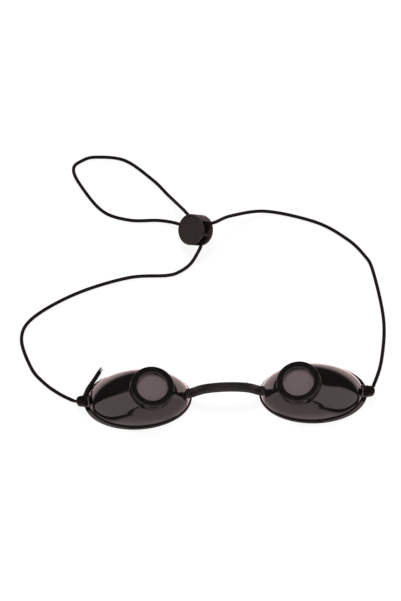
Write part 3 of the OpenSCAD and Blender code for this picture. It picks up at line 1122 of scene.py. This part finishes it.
@dataclass(frozen=True)
class Viewpoint:
    """The camera at the photograph's viewing angle, with sizes in millimetres and the
    image's pixels."""

    elevation: float = 62.5
    roll: float = -2.0
    distance: float = 950.0
    focal: float = 1862.7
    image: tuple[int, int] = (401, 601)
    origin_pixel: tuple[float, float] = (225.5, 396.9)
    sensor: float = 36.0

    def build(self) -> None:
        """Makes the camera so that the frame's origin falls on its pixel."""
        e, r = np.radians(self.elevation), np.radians(self.roll)
        ahead = np.array([0, np.cos(e), -np.sin(e)])
        level, upward = np.array([1.0, 0, 0]), np.array([0, np.sin(e), np.cos(e)])
        right = np.cos(r) * level + np.sin(r) * upward
        up = np.cos(r) * upward - np.sin(r) * level
        u = (self.origin_pixel[0] - self.image[0] / 2) / self.focal
        v = (self.image[1] / 2 - self.origin_pixel[1]) / self.focal
        place = -self.distance * MM * (ahead + u * right + v * up)
        camera = link("camera", bpy.data.cameras.new("camera"))
        camera.data.sensor_width = self.sensor
        camera.data.lens = self.focal * self.sensor / max(self.image)
        camera.data.clip_start = 0.01
        axes = np.stack([right, up, -ahead, place], 1)
        camera.matrix_world = Matrix(np.vstack([axes, [0, 0, 0, 1]]).tolist())
        bpy.context.scene.camera = camera


class Surround(Tree):
    """The studio's walls as gloss sees them, a brightness worked out from the direction."""

    def __init__(self, world: bpy.types.World) -> None:
        """Splits the direction into its parts."""
        super().__init__(world.node_tree)
        place = self.nodes.new("ShaderNodeTexCoord").outputs["Generated"]
        x, self.y, self.z = self.node("ShaderNodeSeparateXYZ", {}, {0: place}).outputs
        self.x = self.math("ABSOLUTE", x)
        self.right = self.step(x, 0.2, 0.5)

    def plane(self, across: float, ahead: float, up: float) -> Socket:
        """across |x| + ahead y + up z."""
        total = self.math("ADD", self.math("MULTIPLY", self.x, across),
                          self.math("MULTIPLY", self.y, ahead))
        return self.math("ADD", total, self.math("MULTIPLY", self.z, up))

    def step(self, value: Socket, low: float, high: float, start: float = 0.0,
             end: float = 1.0) -> Socket:
        """A soft step from start at low to end at high."""
        return self.node("ShaderNodeMapRange", {"interpolation_type": "SMOOTHSTEP"}, {
            "Value": value, "From Min": low, "From Max": high, "To Min": start,
            "To Max": end}).outputs["Result"]

    def between(self, factor: Socket, a: Socket | float, b: Socket | float) -> Socket:
        """The number a + factor (b - a)."""
        return self.node("ShaderNodeMix", {}, {0: factor, 2: a, 3: b}).outputs[0]

    def panel(self) -> Socket:
        """How far out a direction is from the middle of the soft panel on its side, 1 at
        the panel's edge: max(v / a, -v / b)^p + (max(u, 0) / c)^p, where v runs across
        the panel and u along it, down to the side. The right panel is wider, and both
        narrow in front as they rise."""
        power, reach, behind, wider = 2.6, 0.82, 0.395, 0.08
        front, slope, narrowest, widest = 0.58, 0.55, 0.15, 0.56
        v = self.plane(0.5, 0.866, 0)
        down = self.plane(0.557, -0.321, -0.766)
        u = self.math("MAXIMUM", down, 0.0)
        a = self.math("ADD", self.math("MULTIPLY", self.right, wider), behind)
        b = self.math("ADD", self.math("MULTIPLY", down, slope), front)
        b = self.math("MAXIMUM", self.math("MINIMUM", b, widest), narrowest)
        v = self.math("MAXIMUM", self.math("DIVIDE", v, a),
                      self.math("DIVIDE", self.math("MULTIPLY", v, -1), b))
        return self.math("ADD", self.math("POWER", v, power),
                         self.math("POWER", self.math("DIVIDE", u, reach), power))


@dataclass(frozen=True)
class Studio:
    """The pale floor, the soft lamps and the surroundings."""

    floor_half: float = 3.0
    floor_z: float = -0.0001
    floor_white: float = 0.86
    show_white: float = 0.8
    shown: float = 1.1
    ambient: float = 0.4
    panel_light: float = 1.75
    front_light: float = 1.45
    low_light: float = 1.7
    back_light: float = 3.2
    dark: float = 0.06
    key: float = 10.5
    warm: tuple[float, float, float] = (1.0, 0.79, 0.77)
    plain: tuple[float, float, float] = (1.0, 0.84, 0.8)
    air: tuple[float, float, float] = (1.0, 0.96, 0.95)

    def build(self) -> None:
        """Makes the floor, lamps and world, and sets the view transform."""
        self.floor()
        self.world()
        self.card("rear_card", (9, 85), (-40, 31), self.back_light)
        self.card("front_card", (-350, -6), (-40, 260), self.front_light)
        self.lamp("key", (-0.15, 0.75, 1.15), 0.35, self.key)
        self.lamp("fill", (0.5, -0.7, 0.9), 0.9, self.key * 0.3)
        bpy.context.scene.view_settings.view_transform = "Standard"

    def floor(self) -> None:
        """A large floor: it takes shadows and shows nearly white. Gloss sees the world's
        lower half in its place."""
        sheet = Sheet("floor_paper")
        colour = sheet.mix(sheet.noise(40, 3), (self.floor_white,) * 3 + (1,),
                           (self.floor_white + 0.02,) * 3 + (1,))
        paper = sheet.node("ShaderNodeBsdfDiffuse", {}, {"Color": colour})
        glow = sheet.node("ShaderNodeEmission", {}, {"Color": WHITE, "Strength": self.shown})
        path = sheet.node("ShaderNodeLightPath", {}, {})
        seen = sheet.math("MAXIMUM", path.outputs["Is Camera Ray"],
                          path.outputs["Is Transmission Ray"])
        both = sheet.node("ShaderNodeMixShader", {}, {
            0: sheet.math("MULTIPLY", seen, self.show_white), 1: paper.outputs[0],
            2: glow.outputs[0]})
        corners = [(self.floor_half * x, self.floor_half * y, self.floor_z)
                   for x, y in ((-1, -1), (1, -1), (1, 1), (-1, 1))]
        floor = self.plate("floor", corners, sheet, both)
        floor.visible_glossy = False

    def plate(self, name: str, corners: list, sheet: Sheet,
              shader: bpy.types.Node) -> bpy.types.Object:
        """Makes a flat piece of the studio.

        Args:
            name: its name.
            corners: its four corners, in metres.
            sheet: its material, whose own main shader isn't used.
            shader: the node that shades it.

        Returns:
            The piece.
        """
        mesh = bpy.data.meshes.new(name)
        mesh.from_pydata(corners, [], [(0, 1, 2, 3)])
        sheet.nodes.remove(sheet.shader)
        sheet.put(sheet.nodes["Material Output"], {"Surface": shader.outputs[0]})
        mesh.materials.append(sheet.material)
        return link(name, mesh)

    def card(self, name: str, along: tuple, up: tuple, light: float) -> None:
        """An upright white card between the cups, which only gloss sees.

        Args:
            name: its name.
            along: its first and last y, in millimetres.
            up: its lowest and highest z, in millimetres.
            light: its brightness.
        """
        sheet = Sheet(name)
        glow = sheet.node("ShaderNodeEmission", {}, {"Color": (*self.warm, 1),
                                                     "Strength": light})
        corners = [(0, along[a] * MM, up[b] * MM) for a, b in ((0, 0), (1, 0), (1, 1), (0, 1))]
        card = self.plate(name, corners, sheet, glow)
        card.visible_camera = card.visible_diffuse = card.visible_transmission = False
        card.visible_shadow = card.visible_volume_scatter = False

    def world(self) -> None:
        """Even light from all round. Gloss sees a pale room with a soft panel above each
        side, each in a dark frame, and a dark ceiling behind."""
        world = bpy.data.worlds.new("studio")
        world.use_nodes = True
        bpy.context.scene.world = world
        room = Surround(world)
        reach = room.panel()
        facing = room.step(room.plane(0.663, -0.383, 0.643), 0.0, 0.12)
        panel = room.math("MULTIPLY", room.step(reach, 0.9, 1.1, 1.0, 0.0), facing)
        border = room.math("MULTIPLY", room.step(reach, 1.4, 1.9, 1.0, 0.0), facing)
        front = room.step(room.z, 0.1, -0.3, self.front_light, self.low_light)
        front = room.math("MULTIPLY", front, room.step(room.z, -0.66, -0.8, 1.0, 0.1))
        rear = room.step(room.plane(0.428, 1.0, -0.253), 0.14, 0.2)
        back = room.step(room.plane(0.969, 1.0, -0.649), 0.88, 1.3, self.dark, self.back_light)
        glow = room.between(rear, front, back)
        glow = room.between(border, glow, self.dark)
        glow = room.between(panel, glow, self.panel_light)
        tint = room.mix(panel, (*self.warm, 1), (*self.plain, 1))
        seen = room.put(room.nodes["Background"], {"Color": WHITE, "Strength": 1.0})
        diffuse = room.node("ShaderNodeBackground", {}, {
            "Color": (*self.air, 1), "Strength": self.ambient})
        gloss = room.node("ShaderNodeBackground", {}, {"Color": tint, "Strength": glow})
        path = room.node("ShaderNodeLightPath", {}, {})
        first = room.node("ShaderNodeMixShader", {}, {
            0: path.outputs["Is Glossy Ray"], 1: diffuse.outputs[0], 2: gloss.outputs[0]})
        last = room.node("ShaderNodeMixShader", {}, {
            0: path.outputs["Is Camera Ray"], 1: first.outputs[0], 2: seen.outputs[0]})
        room.put(room.nodes["World Output"], {"Surface": last.outputs[0]})

    def lamp(self, name: str, place: tuple, size: float, power: float) -> None:
        """A square soft lamp that faces the goggles and isn't seen in gloss."""
        light = bpy.data.lights.new(name, "AREA")
        light.size, light.energy = size, power
        lamp = link(name, light)
        lamp.location = place
        lamp.rotation_euler = Vector([-v for v in place]).to_track_quat("-Z", "Y").to_euler()
        lamp.visible_glossy = False


@dataclass(frozen=True)
class LockInside:
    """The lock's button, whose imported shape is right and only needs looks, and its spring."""

    coil: float = 2.5
    wire_d: float = 0.4
    turns: int = 3
    seats: tuple[float, float] = (0.2, 3.4)
    stroke: float = 1.4
    plastic: Moulded = Moulded("button_plastic", (0.018, 0.015, 0.014), 0.4, peel=0.6,
                               peel_scale=1500, reflection=0.1)
    wire: Wire = Wire("spring_steel", (0.6, 0.6, 0.62))

    def build(self, barrel: LockBarrel) -> None:
        """Gives the button its finish and makes the spring in the barrel."""
        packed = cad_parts["lock_button"]
        packed.data.materials.clear()
        packed.data.materials.append(self.plastic.make())
        self.spring(barrel.place())

    def spring(self, place: Matrix) -> None:
        """Makes the spring: a round wire along a screw line between its two seats.

        Args:
            place: the lock's own frame in the goggles' frame.
        """
        low, high = self.seats
        t = np.linspace(0, 1, 48 * self.turns + 1)
        turn = TURN * self.turns * t
        room = self.wire_d / 2 + 0.02
        line = np.stack([self.coil * np.cos(turn), self.coil * np.sin(turn),
                         low + room + (high - low - 2 * room) * t], -1)
        made = Shell("lock_spring_coil")
        made.sweep(line, (0, 0, 1), self.wire_d / 2, 12)
        piece = made.build(SOFT_CREASE)
        piece.data.transform(place)
        dress(piece, self.wire.make(), "left_cup", "lock_spring")
        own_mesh(piece)


def main() -> None:
    """Builds the camera and the cord first, then the rest of the goggles."""
    logging.basicConfig(level=logging.INFO, format="%(message)s")
    Viewpoint().build()
    LockInside().build(LockBarrel())
    Cord().build()
    EyeCups().build()
    NoseBridge().build()
    Studio().build()


if __name__ == "__main__":
    main()
